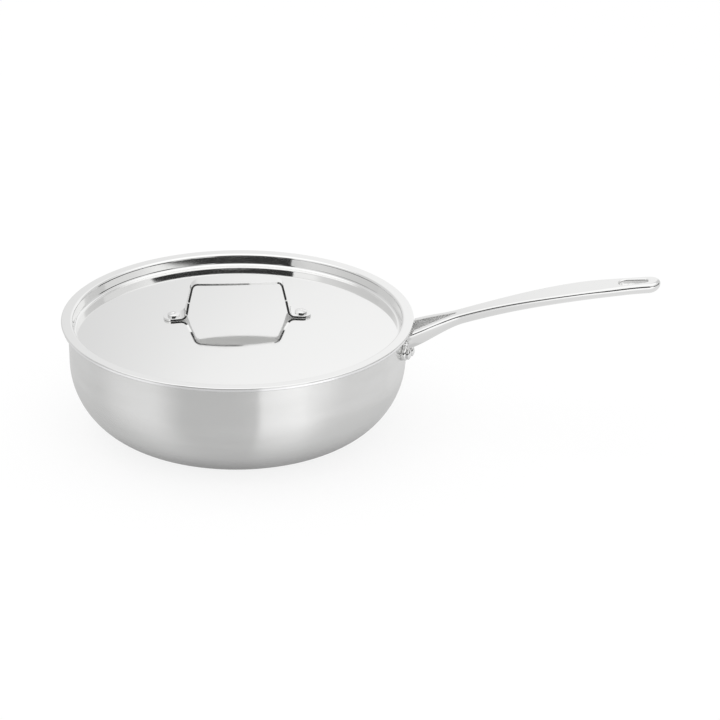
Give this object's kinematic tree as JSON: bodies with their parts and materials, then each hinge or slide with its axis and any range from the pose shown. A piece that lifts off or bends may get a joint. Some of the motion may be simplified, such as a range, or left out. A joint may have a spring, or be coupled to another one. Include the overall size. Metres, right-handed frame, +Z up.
{
  "type": "saute pan with lid",
  "caption": "Deep stainless saute pan with rounded sides, a long forked handle riveted on and pierced for hanging, and a lift-off domed lid with a bent strap grip.",
  "frame": {"origin": "middle of the flat base, on the surface the pan stands on", "axes": "+Z up along the pan's axis, +X out along the long handle, +Y to the left of a person looking along the handle from the pan"},
  "size_m": [0.5085, 0.3, 0.144],
  "materials": {
    "satin_steel": "satin brushed round the pan",
    "core_aluminium": "bonded sheet, bare only at the lip's edge",
    "inner_steel": "fine turned satin",
    "cast_steel": "polished casting, soft shine",
    "rivet_steel": "tumbled shine",
    "polished_steel": "mirror polished",
    "strap_steel": "mirror polished"
  },
  "bodies": {
    "pan": {"pan_outer_skin": "satin_steel", "pan_core": "core_aluminium", "pan_inner_skin": "inner_steel", "handle": "cast_steel", "handle_rivet_front": "rivet_steel", "handle_rivet_back": "rivet_steel", "handle_rivet_lower": "rivet_steel"},
    "lid": {"lid": "polished_steel", "lid_grip": "strap_steel", "lid_rivet_left": "rivet_steel", "lid_rivet_right": "rivet_steel"}
  },
  "joints": [
    {"name": "lid_lift", "type": "slide", "parent": "pan", "child": "lid", "axis": [0, 0, 1], "range_m": [0, 0.15]}
  ]
}
